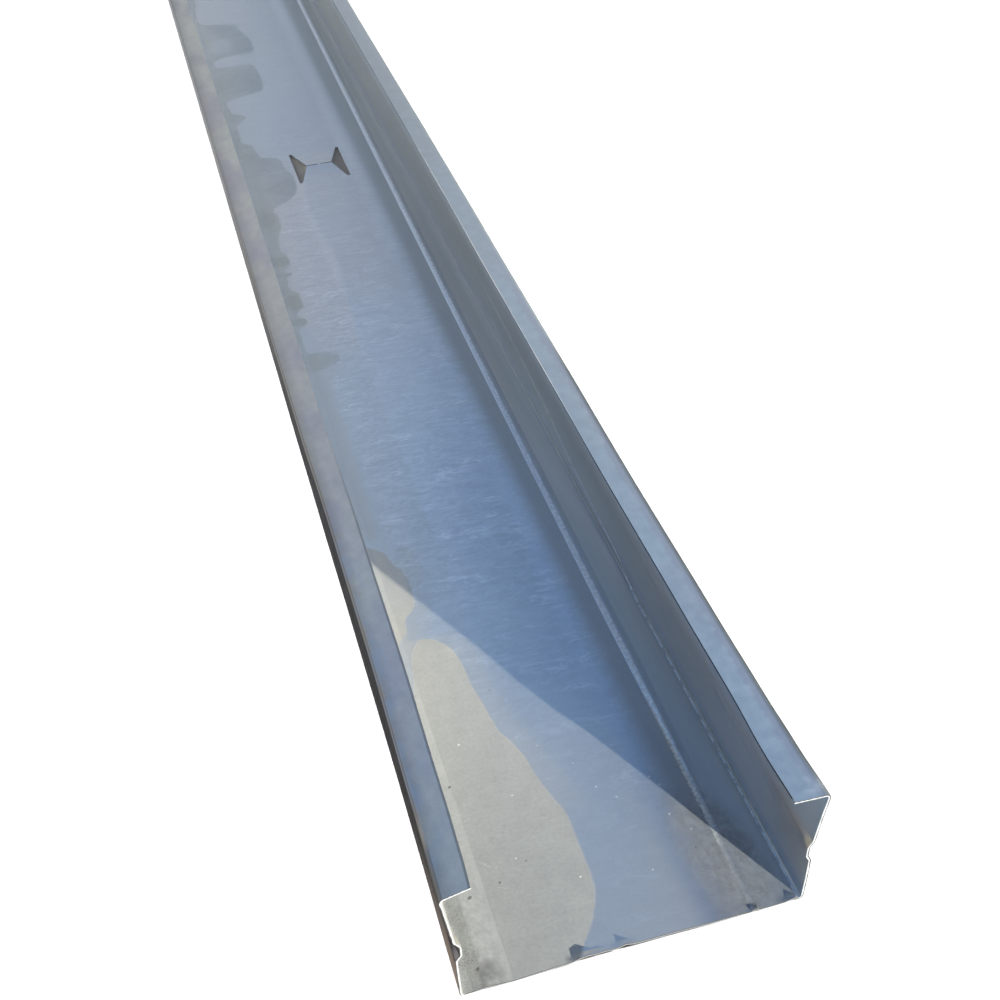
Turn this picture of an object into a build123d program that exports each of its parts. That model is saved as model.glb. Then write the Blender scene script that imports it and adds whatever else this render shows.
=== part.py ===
from build123d import *
import os

# A light steel stud for partition walls, as it comes off the rolls: one strip of galvanised sheet bent
# into a C with a wide web, two flanges and two short lips. It lies on its web with the open side up.
# +Y runs along the stud, +X goes across it and +Z is up. The origin is under the middle of the web,
# halfway along the stud. All sizes are in millimetres.

# The strip and the stud cut from it
sheet = 0.5                   # thickness of the sheet
length = 2400.0               # one sold length, cut square at both ends

# The C section, measured over its outer skin
web_width = 70.0              # from flange to flange at the web
flange_height = 32.6          # underside of the web to the flanges' top bend
flange_lean = 1.6             # how far each flange's upper half leans outward at its top bend
left_lip_width = 6.2          # from the left top bend inward
right_lip_width = 6.6         # from the right top bend inward
left_lip_rise = 1.6           # the lips stop short of square, so their free edges stand higher
right_lip_rise = 0.5
bend_radius = 0.7             # inner radius of the four main bends
rolled_radius = 0.9           # inner radius of the soft bends in the ribs, the grooves and the web

# The web's slight crown between its two ribs
web_crown = 1.4               # height where its two sides would meet
crown_radius = 330.0          # the long curve that joins them

# The web's left rib, raised inward
left_rib_inset = 3.2          # outer face of the flange to the foot of the rib
left_rib_outer_flank = 2.5    # width of its slope beside the flange
left_rib_top = 3.2            # width of its flat top
left_rib_inner_flank = 1.4    # width of its slope towards the middle
left_rib_height = 1.1

# The web's right rib, narrower in its outer slope and a little lower
right_rib_inset = 4.5
right_rib_outer_flank = 1.1
right_rib_top = 4.5
right_rib_inner_flank = 1.8
right_rib_height = 0.9

# The groove along each flange, pressed inward
left_groove_height = 15.5     # underside of the web to the middle of the groove
right_groove_height = 15.9
groove_mouth = 5.8            # width over its two slopes
groove_floor = 2.7            # width of its flat floor
left_groove_depth = 1.0
right_groove_depth = 0.8

# The H-shaped service punches in the web: two triangular openings joined by a slit, which leave two
# flaps that can be bent up. A small tab halfway along the slit still holds the flaps together.
punch_pitch = 560.0           # from punch to punch along the stud
punch_shift = 3.6             # centre of the punches to the right of the web's centre line
punch_width = 19.8            # across the stud, over both triangles
punch_length = 26.6           # along the stud
punch_depth = 4.7             # each triangle, from its straight side to its inner point
punch_tip = 1.1               # width of the triangles' blunt tips
punch_corner = 0.2            # radius that the punch leaves in its corners
slit_width = 0.7
tab_width = 1.4

# Places worked out from the sizes above
half_web = web_width / 2
half_lean = half_web + flange_lean
left_lip_top = flange_height + left_lip_rise
right_lip_top = flange_height + right_lip_rise
groove_half_mouth = groove_mouth / 2
groove_half_floor = groove_floor / 2
bend_outside = bend_radius + sheet
rolled_outside = rolled_radius + sheet

left_foot = -half_web + left_rib_inset
left_shoulder = left_foot + left_rib_outer_flank
left_crest = left_shoulder + left_rib_top
left_inner_foot = left_crest + left_rib_inner_flank

right_foot = half_web - right_rib_inset
right_shoulder = right_foot - right_rib_outer_flank
right_crest = right_shoulder - right_rib_top
right_inner_foot = right_crest - right_rib_inner_flank
crown_middle = (left_inner_foot + right_inner_foot) / 2


# The outer skin of the section, from the left lip's free edge round to the right lip's. Each entry is
# across, up, and the radius of the skin at that corner. A corner that points outward is the outside of
# its bend, so it has the sheet's thickness more.
left_side = [
    (-half_lean, flange_height, bend_outside),
    (-half_web, left_groove_height + groove_half_mouth, rolled_outside),
    (-half_web + left_groove_depth, left_groove_height + groove_half_floor, rolled_radius),
    (-half_web + left_groove_depth, left_groove_height - groove_half_floor, rolled_radius),
    (-half_web, left_groove_height - groove_half_mouth, rolled_outside),
    (-half_web, 0, bend_outside),
]
web = [
    (left_foot, 0, rolled_outside),
    (left_shoulder, left_rib_height, rolled_radius),
    (left_crest, left_rib_height, rolled_radius),
    (left_inner_foot, 0, rolled_outside),
    (crown_middle, web_crown, crown_radius),
    (right_inner_foot, 0, rolled_outside),
    (right_crest, right_rib_height, rolled_radius),
    (right_shoulder, right_rib_height, rolled_radius),
    (right_foot, 0, rolled_outside),
]
right_side = [
    (half_web, 0, bend_outside),
    (half_web, right_groove_height - groove_half_mouth, rolled_outside),
    (half_web - right_groove_depth, right_groove_height - groove_half_floor, rolled_radius),
    (half_web - right_groove_depth, right_groove_height + groove_half_floor, rolled_radius),
    (half_web, right_groove_height + groove_half_mouth, rolled_outside),
    (half_lean, flange_height, bend_outside),
]
corners = left_side + web + right_side
left_edge = (-half_lean + left_lip_width, left_lip_top)
right_edge = (half_lean - right_lip_width, right_lip_top)
skin = [left_edge] + [(across, up) for across, up, _ in corners] + [right_edge]
skin_radii = [radius for _, _, radius in corners]

# Half of one punch, to the left of its centre: the triangle, with blunt tips, and its share of the slit
half_width = punch_width / 2
half_length = punch_length / 2
half_slit = slit_width / 2
half_tab = tab_width / 2
half_punch = [
    (-half_width, -half_length),
    (-half_width + punch_tip, -half_length),
    (-half_width + punch_depth, -half_slit),
    (-half_tab, -half_slit),
    (-half_tab, half_slit),
    (-half_width + punch_depth, half_slit),
    (-half_width + punch_tip, half_length),
    (-half_width, half_length),
]
with BuildSketch() as punch:
    with BuildLine():
        Polyline(*half_punch, close=True)
    make_face()
    fillet(punch.vertices(), radius=punch_corner)
    mirror(about=Plane.YZ)

# As many punches as the length has room for at that pitch, set evenly about the stud's middle
punch_count = max(1, round(length / punch_pitch))

# The section is the skin and the same line one thickness further in, closed at the lips' square edges
with BuildPart() as stud:
    with BuildSketch(Plane.XZ):
        with BuildLine():
            FilletPolyline(*skin, radius=skin_radii)
            offset(amount=sheet, side=Side.LEFT)
        make_face()
    extrude(amount=length / 2, both=True)
    with BuildSketch() as punches:
        with Locations((punch_shift, 0)):
            with GridLocations(1, punch_pitch, 1, punch_count):
                add(punch.sketch)
    extrude(amount=flange_height / 2, mode=Mode.SUBTRACT)

stud.part.label = "stud"

os.makedirs("parts", exist_ok=True)
export_step(stud.part, "parts/stud.step")
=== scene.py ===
"""A light galvanised steel stud, lying on its web with its open side up.

The stud is one strip of sheet rolled into a C. Here it is made as a fine surface: the section's skin is
carried along the length on a grid, given the sheet's thickness, opened at the punches and cut square at both
ends, with the small waves, burrs and bent edges that rolling and shearing leave in thin sheet. Sizes are in
millimetres until a mesh is made: across from the web's centre line, up from the floor, and along from the
near end.
"""

import logging
from dataclasses import dataclass, field
from enum import Enum
from functools import cached_property, partial, reduce
from math import cos, radians, sin
from typing import TypeAlias

import bpy
import numpy as np
from mathutils import Euler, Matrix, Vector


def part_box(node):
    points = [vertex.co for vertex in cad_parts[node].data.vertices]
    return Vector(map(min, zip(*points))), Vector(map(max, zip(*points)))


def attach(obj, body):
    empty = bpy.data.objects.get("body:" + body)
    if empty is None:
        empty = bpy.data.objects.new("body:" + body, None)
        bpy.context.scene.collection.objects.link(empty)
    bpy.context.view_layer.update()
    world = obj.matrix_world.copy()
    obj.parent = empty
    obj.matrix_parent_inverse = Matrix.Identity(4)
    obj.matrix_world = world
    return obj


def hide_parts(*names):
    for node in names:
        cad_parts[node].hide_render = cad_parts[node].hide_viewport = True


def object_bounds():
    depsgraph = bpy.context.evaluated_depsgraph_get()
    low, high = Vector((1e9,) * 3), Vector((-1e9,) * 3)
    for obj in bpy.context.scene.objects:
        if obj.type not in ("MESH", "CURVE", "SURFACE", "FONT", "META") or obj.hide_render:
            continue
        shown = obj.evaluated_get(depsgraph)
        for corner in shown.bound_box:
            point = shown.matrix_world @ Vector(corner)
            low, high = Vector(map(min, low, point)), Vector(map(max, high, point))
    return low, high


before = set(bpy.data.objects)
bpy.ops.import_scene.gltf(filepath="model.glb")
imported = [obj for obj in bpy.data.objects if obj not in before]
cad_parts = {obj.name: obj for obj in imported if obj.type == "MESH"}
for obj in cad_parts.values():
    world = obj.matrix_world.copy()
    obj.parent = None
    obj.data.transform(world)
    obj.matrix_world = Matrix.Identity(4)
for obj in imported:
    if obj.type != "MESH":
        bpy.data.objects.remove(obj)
CAD_LOW, CAD_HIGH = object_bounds()

MM = 0.001
LOG = logging.getLogger("steel_stud")

Pair = tuple[float, float]
Triple = tuple[float, float, float]
Points = tuple[Pair, ...]
Colour = Triple
Stops = tuple[tuple[float, Colour], ...]
Value: TypeAlias = "float | Signal"
Tone: TypeAlias = "Colour | Signal"
Inputs = dict[str | int, object]


class Skin(Enum):
    """The two faces of the sheet, in thicknesses from the outer one."""

    OUTER = 0
    INNER = 1


class Finish(Enum):
    """The stud's finishes, in the order of its material slots."""

    CHANNEL = 0
    OUTSIDE = 1
    CUT = 2


def smooth_step(value: np.ndarray, low: float, high: float) -> np.ndarray:
    """Rises from 0 at low to 1 at high along 3t^2 - 2t^3, where t is the share of the way."""
    share = np.clip((value - low) / (high - low), 0, 1)
    return share * share * (3 - 2 * share)


def hill(value: np.ndarray, centre: float, half_width: float, flat: int = 1) -> np.ndarray:
    """A smooth hill: (1 - t^(2 flat))^2, where t goes from 0 at the centre to 1 at half_width and beyond."""
    share = np.clip(np.abs(value - centre) / half_width, 0, 1)
    return (1 - share ** (2 * flat)) ** 2


def through(value: np.ndarray, points: Points) -> np.ndarray:
    """Goes by smooth steps from point to point, which are places in rising order and heights."""
    steps = ((b[1] - a[1]) * smooth_step(value, a[0], b[0]) for a, b in zip(points, points[1:]))
    return points[0][1] + sum(steps)


@dataclass(frozen=True)
class Spots:
    """Points on the outer skin: across from the web's centre line, up, along, and from the nearer end."""

    across: np.ndarray
    up: np.ndarray
    along: np.ndarray
    from_end: np.ndarray


@dataclass(frozen=True)
class Side:
    """One side of the section: its lip's reach and rise, its groove's height and depth, and its rib.

    A rib is given by the widths of its outer flat, outer slope, top and inner slope, and by its rise.
    """

    lip: Pair
    groove_height: float
    groove_depth: float
    rib: tuple[float, float, float, float, float]


@dataclass
class Section:
    """The C section's outer skin, as a path from the left lip's edge round to the right lip's."""

    sheet: float = 0.5
    half_web: float = 35
    flange_height: float = 32.6
    lean: float = 1.6
    bend: float = 0.7
    foot_bend: float = 0.5
    rolled: float = 0.8
    crown: float = 1.4
    crown_radius: float = 330
    left: Side = Side((6.2, 1.6), 15.5, 1.0, (2.6, 2.6, 0.5, 5.0, 0.36))
    right: Side = Side((6.8, 0.5), 15.9, 0.8, (1.8, 6.2, 1.4, 1.3, 0.62))
    groove_mouth: float = 5.8
    groove_floor: float = 2.7
    arc_steps: int = 40
    flat_step: float = 3
    wide_bend: float = 50
    tight_bend: float = 1.3
    bend_steps: tuple[int, int, int] = (24, 5, 3)

    def corners(self, side: Side) -> np.ndarray:
        """Lists one side's corners before rounding, from the lip's free edge to the rib's inner foot.

        Args:
            side: The side's own sizes.

        Returns:
            Rows of distance out from the middle, up and corner radius.
        """
        half, top, lean = self.half_web, self.flange_height, self.half_web + self.lean
        outside, foot, soft = (radius + self.sheet for radius in (self.bend, self.foot_bend, self.rolled))
        mouth, floor = self.groove_mouth / 2, self.groove_floor / 2
        height, depth = side.groove_height, side.groove_depth
        feet, rise = half - np.cumsum(side.rib[:4]), side.rib[4]
        return np.array([
            (lean - side.lip[0], top + side.lip[1], 0), (lean, top, outside), (half, height + mouth, soft),
            (half - depth, height + floor, self.rolled), (half - depth, height - floor, self.rolled),
            (half, height - mouth, soft), (half, 0, foot), (feet[0], 0, soft), (feet[1], rise, self.rolled),
            (feet[2], rise, self.rolled), (feet[3], 0, soft)])

    @cached_property
    def path(self) -> np.ndarray:
        """Lists all corners, from the left lip's edge over the crown to the right lip's.

        Returns:
            Rows of across, up and corner radius.
        """
        left, right = self.corners(self.left) * (-1, 1, 1), self.corners(self.right)
        top = ((left[-1, 0] + right[-1, 0]) / 2, self.crown, self.crown_radius)
        return np.concatenate([left, [top], right[::-1]])

    def rounded(self) -> tuple[np.ndarray, np.ndarray, np.ndarray]:
        """Rounds every corner with its own radius.

        With u the way in, n the side that the path turns to and a the turn so far, a point of the arc is
        start + r sin(a) u + r (1 - cos(a)) n, and the arc starts r tan(turn / 2) before the corner.

        Returns:
            The path's points, the distance along it at each, and its unit normal there, into the channel.
        """
        spots, radii = self.path[:, :2], self.path[1:-1, 2]
        ways = np.diff(spots, axis=0)
        ways /= np.linalg.norm(ways, axis=1)[:, None]
        way_in, way_out = ways[:-1], ways[1:]
        cross = way_in[:, 0] * way_out[:, 1] - way_in[:, 1] * way_out[:, 0]
        turn = np.arctan2(cross, (way_in * way_out).sum(1))
        start = spots[1:-1] - (radii * np.tan(np.abs(turn) / 2))[:, None] * way_in
        inward = np.stack([-way_in[:, 1], way_in[:, 0]], 1)
        side = inward * np.sign(turn)[:, None]
        so_far = np.abs(turn)[:, None] * np.linspace(0, 1, self.arc_steps + 1)
        arcs = start[:, None] + radii[:, None, None] * (
            np.sin(so_far)[..., None] * way_in[:, None] + (1 - np.cos(so_far))[..., None] * side[:, None])
        angle = np.arctan2(way_in[:, 1], way_in[:, 0])[:, None] + np.sign(turn)[:, None] * so_far
        normals = np.stack([-np.sin(angle), np.cos(angle)], -1).reshape(-1, 2)
        points = np.concatenate([spots[:1], arcs.reshape(-1, 2), spots[-1:]])
        normals = np.concatenate([normals[:1], normals, normals[-1:]])
        along = np.concatenate([[0], np.cumsum(np.linalg.norm(np.diff(points, axis=0), axis=1))])
        return points, along, normals

    def stations(self, run: np.ndarray) -> np.ndarray:
        """Chooses places round the skin: a few on each bend, and even steps on each flat.

        Args:
            run: Distance along the path at each of its points.

        Returns:
            Distances round the skin.
        """
        radii = self.path[1:-1, 2]
        first = 1 + np.arange(len(radii)) * (self.arc_steps + 1)
        starts, stops = run[first], run[first + self.arc_steps]
        wide, tight, other = self.bend_steps
        turns = np.where(radii > self.wide_bend, wide, np.where(radii < self.tight_bend, tight, other))
        bends = [np.linspace(*ends) for ends in zip(starts, stops, turns + 1)]
        flats = [np.linspace(a, b, max(2, int(np.ceil((b - a) / self.flat_step)) + 1))
                 for a, b in zip(np.append(0, stops), np.append(starts, run[-1]))]
        return np.unique(np.concatenate([*bends, *flats]).round(4))


@dataclass
class Punch:
    """The H-shaped service punch: two triangles joined by a slit that a small tab interrupts."""

    pitch: float = 560
    shift: float = 3.6
    half_width: float = 9.9
    half_length: float = 13.3
    depth: float = 5
    tip: float = 1.1
    half_slit: float = 0.22
    half_tab: float = 0.6
    flap_rise: float = 0.5
    flap_margin: float = 0.3
    rows: tuple[float, ...] = (1.2, 2.6, 4.6, 7, 9.6, 11.8)

    def centres(self, length: float) -> np.ndarray:
        """How far each punch's centre is from the near end, with all of them even about the middle."""
        count = max(1, round(length / self.pitch))
        return length / 2 + (np.arange(count) - (count - 1) / 2) * self.pitch

    def offsets(self) -> np.ndarray:
        """Rows that a punch needs along the stud, measured from its own centre."""
        half = np.array([self.half_slit, *self.rows, *(self.half_length + np.array([0, 1, 2.6]))])
        return np.concatenate([-half[::-1], half])

    def inner_side(self, away: np.ndarray) -> np.ndarray:
        """A triangle's depth: its tip's at the punch's ends, growing evenly to the full depth at the slit."""
        share = (self.half_length - np.abs(away)) / (self.half_length - self.half_slit)
        return self.tip + (self.depth - self.tip) * np.clip(share, 0, 1)

    def lifted(self, across: np.ndarray, away: np.ndarray) -> np.ndarray:
        """Rise of the two flaps: it grows with the square of the share of the way to the slit.

        Args:
            across: Distance from the web's centre line.
            away: Distance along from the nearest punch's centre.

        Returns:
            The rise at each point.
        """
        share = np.clip(1 - np.abs(away) / self.half_length, 0, 1)
        reach = self.half_width - self.inner_side(away) + self.flap_margin
        return self.flap_rise * share ** 2 * (np.abs(across - self.shift) < reach)


@dataclass
class Handling:
    """What rolling, shearing and handling did to the thin sheet."""

    sway: float = 0.10
    wave_lengths: tuple[float, ...] = (310, 190, 127, 83)
    wave_shares: tuple[float, ...] = (1, 0.8, 0.5, 0.3)
    wave_reach: float = 23
    wave_lean: float = 0.05
    left_settle: Points = ((0, 0), (22, 0.35), (60, 0.7), (100, 0.6), (145, 0.12), (190, 0))
    right_settle: Points = ((0, 0.05), (13, 0.55), (26, 0.85), (50, 1.05), (100, 1.3), (150, 1.05),
                            (200, 0.9), (250, 0.6), (320, 0.42), (600, 0.1))
    left_reach: Points = ((0, -0.3), (6, -0.15), (60, 0), (140, 0.2), (280, 0.45))
    right_reach: Points = ((0, 0.6), (14, 0.5), (26, 0))
    lip_margins: Pair = (0.3, 0.6)
    foot_drag: Points = ((0, 0.1), (10, 0.1), (30, 0.25), (60, 0.35), (100, 0.3), (150, 0.1), (190, 0))
    foot_height: float = 12
    foot_start: float = 30
    groove_fade: Points = ((0.4, 0), (5, 0.85), (110, 0.85), (220, 0.97))
    groove_middle: float = 15
    groove_reach: float = 10
    jag: float = 0.22
    jags: tuple[Triple, ...] = ((0.55, 5.3, 0.7), (0.35, 2.1, 0), (0.3, 11.7, 2))
    rib_flat: Pair = (0.85, 75)
    rib_drift: Triple = (25.4, 7, 3.1)
    drift_reach: Pair = (90, 600)
    rib_foot: Pair = (22, 24)
    bow: Points = ((4, 0), (24, 0.5), (27, 0.5), (33.2, 0))
    bow_start: Pair = (0, 50)
    burrs: tuple[Triple, ...] = (
        (-10.2, 1.6, 0.7), (-7.2, 2.6, 0.3), (-1.7, 1.6, 0.62), (24.9, 0.8, 0.45), (33, 1.3, 0.6))
    burr_reach: float = 1.4
    seed: int = 7

    def waves(self, at: Spots) -> np.ndarray:
        """Slow waves in the web: a sum of sines along it, each fading to nothing at the web's ribs.

        Args:
            at: Points on the skin.

        Returns:
            Rise of the web.
        """
        spread, count = np.random.default_rng(self.seed), len(self.wave_lengths)
        phases = spread.uniform(0, 2 * np.pi, count)
        leans = spread.uniform(-self.wave_lean, self.wave_lean, count)
        along, across = at.along[..., None], at.across[..., None]
        turn = 2 * np.pi * along / np.array(self.wave_lengths) + phases + leans * across
        total = (self.sway * np.array(self.wave_shares) * np.sin(turn)).sum(-1)
        return total * np.clip(1 - (at.across / self.wave_reach) ** 2, 0, 1)

    def settled(self, at: Spots, section: Section) -> np.ndarray:
        """How far the flanges and lips stand in from where they are at the cut, and the grooves out.

        A flange's inward share grows evenly from its groove to its top bend, and a lip's own reach grows
        evenly from its bend to its free edge. A groove loses a fixed share of its own depth.

        Args:
            at: Points on the skin.
            section: The section that the flanges belong to.

        Returns:
            Shift across, towards +X.
        """
        left, out, edge = at.across < 0, np.abs(at.across), section.half_web + section.lean
        foot = max(section.left.groove_height, section.right.groove_height) + section.groove_mouth / 2
        height = np.clip((at.up - foot) / (section.flange_height - foot), 0, 1)
        below, beside = self.lip_margins
        on_lip = (at.up > section.flange_height - below) & (out < edge - beside)
        share = np.clip((edge - out) / section.left.lip[0], 0, 1) * on_lip
        settle, reach = (
            np.where(left, through(at.from_end, first), through(at.from_end, second))
            for first, second in ((self.left_settle, self.right_settle), (self.left_reach, self.right_reach)))
        low = (at.across < -self.foot_start) * np.clip(1 - at.up / self.foot_height, 0, 1)
        drag = low * through(at.from_end, self.foot_drag)
        outward = np.clip(section.half_web - out, 0, None) * self.flattened(at, section)
        return np.where(left, -1, 1) * (outward - height * settle - share * reach - drag)

    def flattened(self, at: Spots, section: Section) -> np.ndarray:
        """Share of its depth that a groove has lost: none at the cut, and nearly all of it further in."""
        beside = np.abs(at.up - self.groove_middle) < self.groove_reach
        return beside * (np.abs(at.across) < section.half_web) * through(at.from_end, self.groove_fade)

    def edge_line(self, run: np.ndarray) -> np.ndarray:
        """How far short of square the sheared end is: short sines round the section, never below 0."""
        total = sum(size * np.sin(run / length + phase) for size, length, phase in self.jags)
        return self.jag * (total - total.min()) / np.ptp(total)

    def turned_up(self, at: Spots) -> np.ndarray:
        """The web's rise beside the right rib and its burrs at the near cut, less what the shear flattened.

        Args:
            at: Points on the skin.

        Returns:
            Rise of the web.
        """
        share, reach = self.rib_flat
        total = through(at.across, self.bow) * smooth_step(at.along, *self.bow_start)
        total -= share * at.up * smooth_step(at.across, *self.rib_foot) * hill(at.along, 0, reach, 2)
        for centre, half_burr, rise in self.burrs:
            total = total + rise * hill(at.across, centre, half_burr, 2) * hill(at.along, 0, self.burr_reach)
        return total

    def drifted(self, at: Spots) -> np.ndarray:
        """How far the rolls let the right rib wander towards +X, evenly more along drift_reach."""
        (centre, half_width, most), (start, stop) = self.rib_drift, self.drift_reach
        return most * hill(at.across, centre, half_width) * np.clip((at.along - start) / (stop - start), 0, 1)


@dataclass(frozen=True)
class Signal:
    """A number or a colour worked out at every shaded point. Arithmetic on it adds the nodes for it."""

    sheet: "NodeSheet"
    socket: bpy.types.NodeSocket

    def __add__(self, other: Value) -> "Signal":
        """The sum."""
        return self.sheet.math("ADD", self, other)

    def __sub__(self, other: Value) -> "Signal":
        """The difference."""
        return self.sheet.math("SUBTRACT", self, other)

    def __rsub__(self, other: Value) -> "Signal":
        """The difference from a plain number."""
        return self.sheet.math("SUBTRACT", other, self)

    def __mul__(self, other: Value) -> "Signal":
        """The product."""
        return self.sheet.math("MULTIPLY", self, other)

    def __abs__(self) -> "Signal":
        """The size, without its sign."""
        return self.sheet.math("ABSOLUTE", self)

    def step(self, low: Value, high: Value, bottom: Value = 0, top: Value = 1) -> "Signal":
        """Goes smoothly from bottom at low to top at high."""
        return self.sheet.map_range("SMOOTHSTEP", self, low, high, bottom, top)

    def fall(self, low: Value, high: Value) -> "Signal":
        """Goes smoothly from 1 at low to 0 at high."""
        return self.step(low, high, 1, 0)

    def band(self, low: float, high: float, soft: float) -> "Signal":
        """1 between low and high, falling to 0 over soft on each side."""
        return self.step(low - soft, low) * self.fall(high, high + soft)

    def veiled(self, share: Value, colour: Tone) -> "Signal":
        """Lays a colour over this one, by a share."""
        return self.sheet.blend(share, self, colour)

    def lit(self, *factors: Value) -> "Signal":
        """Multiplies a colour by each number in turn."""
        scale = partial(self.sheet.read, "VectorMath", 0, operation="SCALE")
        return reduce(lambda tone, factor: scale({0: tone, 3: factor}), factors, self)

    def curve(self, points: Points, bottom: float, top: float) -> "Signal":
        """Reads a smooth curve through a few points.

        Args:
            points: The curve's points in order, in the units of this number and of the result.
            bottom: The least that the curve can give.
            top: The most.

        Returns:
            The curve's height at this number.
        """
        low, high = points[0][0], points[-1][0]
        share = self.sheet.math("DIVIDE", self - low, high - low)
        node = self.sheet.add("FloatCurve", {"Value": share})
        curve = node.mapping.curves[0]
        spots = [((x - low) / (high - low), (y - bottom) / (top - bottom)) for x, y in points]
        for spot in spots[1:-1]:
            curve.points.new(*spot)
        for point, spot in zip(curve.points, spots):
            point.location = spot
            point.handle_type = "AUTO_CLAMPED"
        node.mapping.update()
        return Signal(self.sheet, node.outputs[0]) * (top - bottom) + bottom

    def ramp(self, stops: Stops) -> "Signal":
        """Reads a colour that blends evenly from each stop to the next.

        Args:
            stops: Places in rising order, in this number's units, and the colour at each.

        Returns:
            The colour at this number.
        """
        low, high = stops[0][0], stops[-1][0]
        node = self.sheet.add("ValToRGB", {0: self.sheet.map_range("LINEAR", self, low, high)})
        for _ in stops[2:]:
            node.color_ramp.elements.new(0.5)
        for element, (place, colour) in zip(node.color_ramp.elements, stops):
            element.position = (place - low) / (high - low)
            element.color = (*colour, 1)
        return Signal(self.sheet, node.outputs[0])


class NodeSheet:
    """Adds shader nodes to a material or a world and links them, one call each."""

    def __init__(self, tree: bpy.types.NodeTree) -> None:
        """Starts with an empty tree."""
        tree.nodes.clear()
        self.tree = tree

    def add(self, kind: str, inputs: Inputs | None = None, **settings: object) -> bpy.types.Node:
        """Adds one node.

        Args:
            kind: The node's type, without the prefix that all of them have.
            inputs: What each input socket is set or linked to.
            settings: The node's own settings.

        Returns:
            The node.
        """
        node = self.tree.nodes.new(f"ShaderNode{kind}")
        for key, value in settings.items():
            setattr(node, key, value)
        for key, value in (inputs or {}).items():
            if isinstance(value, Signal):
                self.tree.links.new(value.socket, node.inputs[key])
            elif isinstance(value, tuple) and node.inputs[key].type == "RGBA":
                node.inputs[key].default_value = (*value, 1)
            else:
                node.inputs[key].default_value = value
        return node

    def read(self, kind: str, output: str | int = 0, inputs: Inputs | None = None,
             **settings: object) -> Signal:
        """Adds one node and reads one of its outputs."""
        return Signal(self, self.add(kind, inputs, **settings).outputs[output])

    def math(self, operation: str, *values: Value) -> Signal:
        """One operation on numbers."""
        return self.read("Math", 0, dict(enumerate(values)), operation=operation)

    def map_range(self, kind: str, *values: Value) -> Signal:
        """Takes a number from one range to another, which is 0 to 1 if it isn't given."""
        return self.read("MapRange", 0, dict(enumerate(values)), interpolation_type=kind)

    def most(self, *values: Value) -> Signal:
        """The greatest of a few numbers."""
        return reduce(partial(self.math, "MAXIMUM"), values)

    def blend(self, share: Value, first: Tone, second: Tone) -> Signal:
        """Mixes two colours."""
        return self.read("Mix", 2, {0: share, 6: first, 7: second}, data_type="RGBA")

    def mix(self, share: Value, first: Value, second: Value) -> Signal:
        """Mixes two numbers."""
        return self.read("Mix", 0, {0: share, 2: first, 3: second}, data_type="FLOAT")

    def noise(self, place: Signal, scale: float, detail: float = 2, rough: float = 0.5, warp: float = 0,
              stretch: Colour | None = None, turn: float = 0) -> Signal:
        """Soft noise from 0 to 1.

        Args:
            place: Coordinates to read it at, in metres.
            scale: How fine it is.
            detail: How many finer layers it has.
            rough: How strong the finer layers are.
            warp: How far it is bent out of shape.
            stretch: What the coordinates are multiplied by, after the turn.
            turn: Degrees that the pattern is turned by, about its third axis.

        Returns:
            The noise.
        """
        if turn:
            angles = (0, 0, radians(turn))
            place = self.read("Mapping", 0, {"Vector": place, "Rotation": angles})
        if stretch:
            place = self.read("Mapping", 0, {"Vector": place, "Scale": stretch})
        return self.read("TexNoise", 0, {
            "Vector": place, "Scale": scale, "Detail": detail, "Roughness": rough, "Distortion": warp})

    def mark(self, across: Signal, along: Signal, spot: Pair, half: Pair,
             turn: float = 0, soft: float = 0.5, square: float = 2) -> Signal:
        """A small oval mark.

        Args:
            across: Distance across at the shaded point.
            along: Distance along at the shaded point.
            spot: The mark's centre, across and along.
            half: Half of its length and width.
            turn: Degrees from across to its length.
            soft: Share of its radius over which it fades.
            square: 2 for an oval, and more for a squarer outline.

        Returns:
            1 inside the mark and 0 outside.
        """
        cosine, sine = cos(radians(turn)), sin(radians(turn))
        right, ahead = across - spot[0], along - spot[1]
        long_way = right * (cosine / half[0]) + ahead * (sine / half[0])
        short_way = right * (-sine / half[1]) + ahead * (cosine / half[1])
        size = self.math("POWER", abs(long_way), square) + self.math("POWER", abs(short_way), square)
        return size.step((1 - soft) ** square, 1, 1, 0)

    def surface(self, tone: Tone, metallic: Value, rough: Value, height: Signal | None = None) -> None:
        """Ends a material with its surface.

        Args:
            tone: Its colour.
            metallic: How metallic it is.
            rough: How rough it is.
            height: Its fine relief, in metres.
        """
        inputs = {"Base Color": tone, "Metallic": metallic, "Roughness": rough}
        if height is not None:
            inputs["Normal"] = self.read("Bump", 0, {"Strength": 1, "Distance": 1, "Height": height})
        self.add("OutputMaterial", {"Surface": self.read("BsdfPrincipled", 0, inputs)})


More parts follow.
